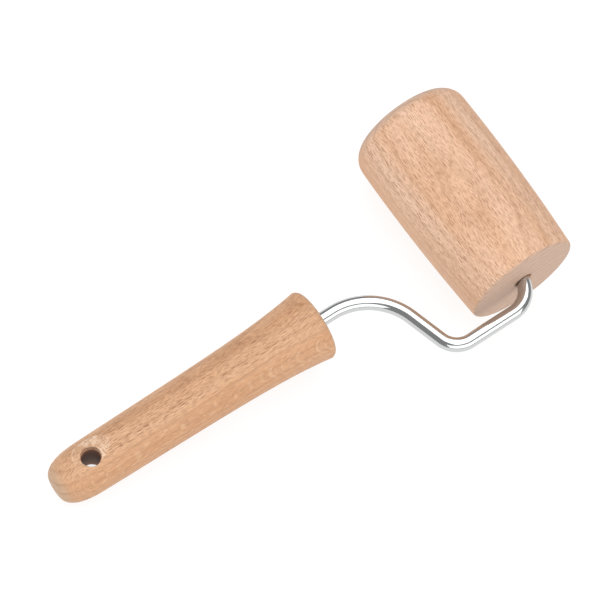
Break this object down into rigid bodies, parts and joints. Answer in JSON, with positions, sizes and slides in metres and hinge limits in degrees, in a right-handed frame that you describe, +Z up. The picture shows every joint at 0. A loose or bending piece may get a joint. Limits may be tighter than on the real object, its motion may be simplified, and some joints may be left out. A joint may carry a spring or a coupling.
{
  "type": "wooden hand roller",
  "caption": "Beech brayer-type hand roller: a crowned wooden roller spins on the axle of a cranked steel wire set into a turned handle with a cross hole for hanging.",
  "frame": {"origin": "middle of the footprint of the tool as it lies on a table, at the table", "axes": "+X from the handle to the roller, +Y along the roller's axis and away from the wire's crank, +Z up from the table"},
  "size_m": [0.1886, 0.0795, 0.0427],
  "materials": {
    "handle_beech": "sanded beech, unvarnished",
    "roller_beech": "sanded beech, unvarnished",
    "plug_beech": "sanded beech, end grain across the face",
    "bright_wire": "bright nickel-chrome plate",
    "zinc_steel": "zinc plate",
    "nylon": "natural nylon"
  },
  "bodies": {
    "frame": {"handle": "handle_beech", "wire_frame": "bright_wire", "thrust_washer": "zinc_steel", "push_nut": "zinc_steel"},
    "roller": {"roller": "roller_beech", "near_bush": "nylon", "far_bush": "nylon", "end_plug": "plug_beech"}
  },
  "joints": [
    {"name": "roller_spin", "type": "hinge", "parent": "frame", "child": "roller", "pos_m": [0.07293, 0.005, 0.02133], "axis": [0, 1, 0], "continuous": true}
  ]
}
